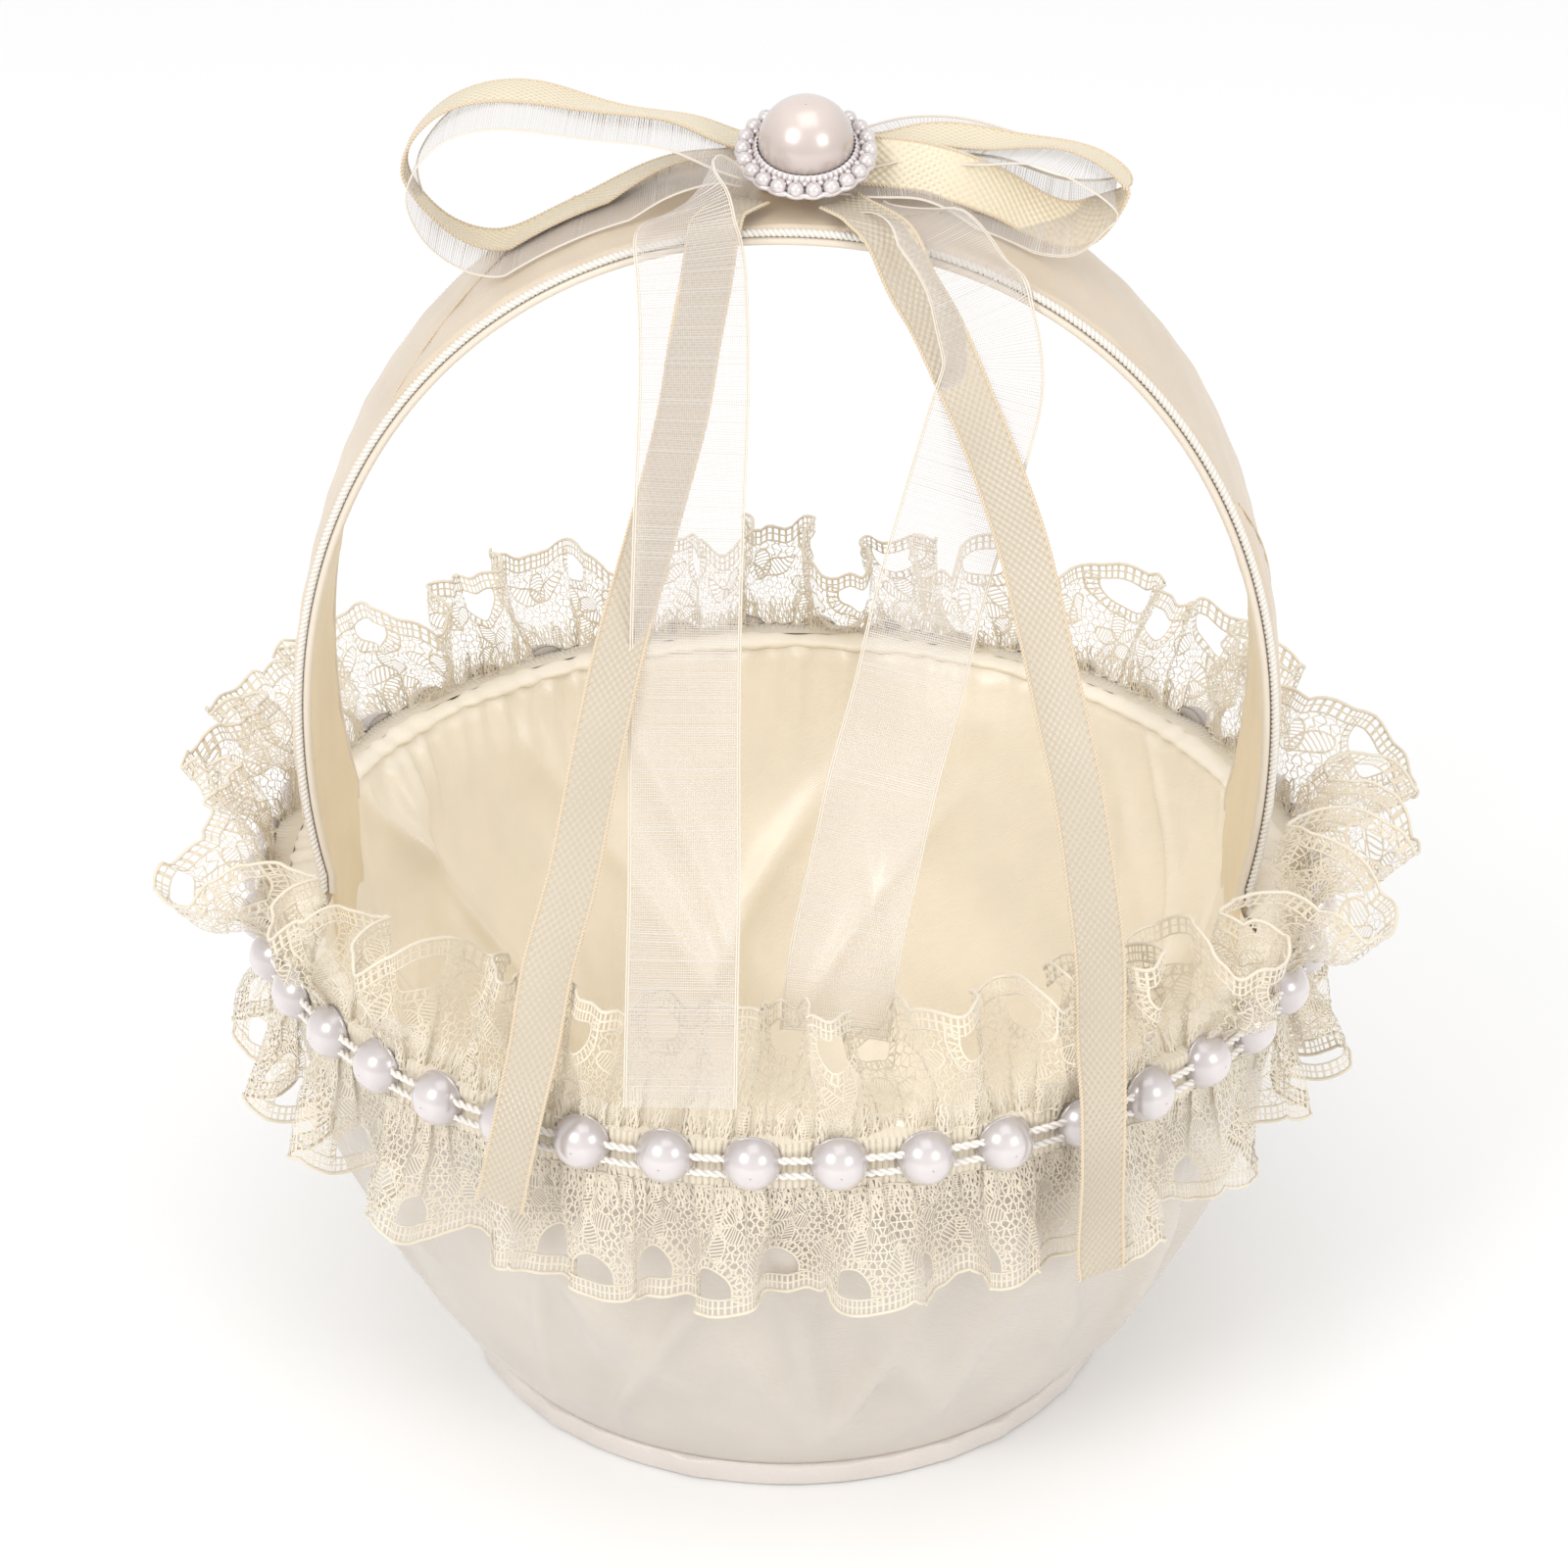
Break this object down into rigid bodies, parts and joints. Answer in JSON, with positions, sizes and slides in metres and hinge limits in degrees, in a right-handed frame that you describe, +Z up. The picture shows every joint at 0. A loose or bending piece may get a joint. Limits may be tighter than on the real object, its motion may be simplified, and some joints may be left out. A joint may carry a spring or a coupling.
{
  "type": "flower girl basket",
  "caption": "Satin-covered bowl basket with gathered lace and a half-pearl string at its rim, a satin-wrapped hoop handle, and a ribbon bow under a pearl brooch.",
  "frame": {"origin": "middle of the underside of the base disc, on the surface the basket stands on", "axes": "+Z up through the bowl's middle; the hoop handle lies in the XZ plane; the front, where the ribbon tails hang, faces -Y"},
  "size_m": [0.1792, 0.1626, 0.198],
  "materials": {
    "satin_outer": "pale ivory polyester satin, gathered towards the base",
    "satin_base": "satin-covered board, pale pinkish ivory",
    "satin_lining": "warm cream satin lining with loose folds",
    "satin_handle": "ivory satin ribbon wrapped and glued round the handle",
    "satin_ribbon": "narrow cream satin ribbon with a woven edge",
    "organza": "sheer cream organza ribbon with thread edges",
    "lace": "ivory knitted lace with floral motifs and a scalloped edge",
    "thread": "white twisted polyester thread",
    "piping_cord": "silvery ivory twisted cord",
    "pearl": "pearlescent coated ABS, pale lavender white",
    "moulded_plastic": "injection-moulded white plastic, hidden",
    "hot_melt_glue": "milky hot-melt adhesive, hidden"
  },
  "bodies": {
    "root": {"base_disc": "satin_base", "bowl_core": "moulded_plastic", "outer_cover": "satin_outer", "lining": "satin_lining", "rim_roll": "satin_lining", "lace_heading": "lace", "upper_ruffle": "lace", "lower_ruffle": "lace", "pearl_beads": "pearl", "pearl_thread_upper": "thread", "pearl_thread_lower": "thread", "handle_core": "moulded_plastic", "handle_wrap": "satin_handle", "handle_piping_front": "piping_cord", "handle_piping_back": "piping_cord", "handle_glue_pads": "hot_melt_glue", "bow_knot": "satin_ribbon", "sheer_loop_left": "organza", "sheer_loop_right": "organza", "satin_loop_left": "satin_ribbon", "satin_loop_right": "satin_ribbon", "sheer_tail_left": "organza", "sheer_tail_right": "organza", "satin_tail_left": "satin_ribbon", "satin_tail_right": "satin_ribbon", "brooch_plate": "pearl", "brooch_collar": "pearl", "brooch_beads": "pearl", "brooch_pearl": "pearl"}
  },
  "joints": []
}
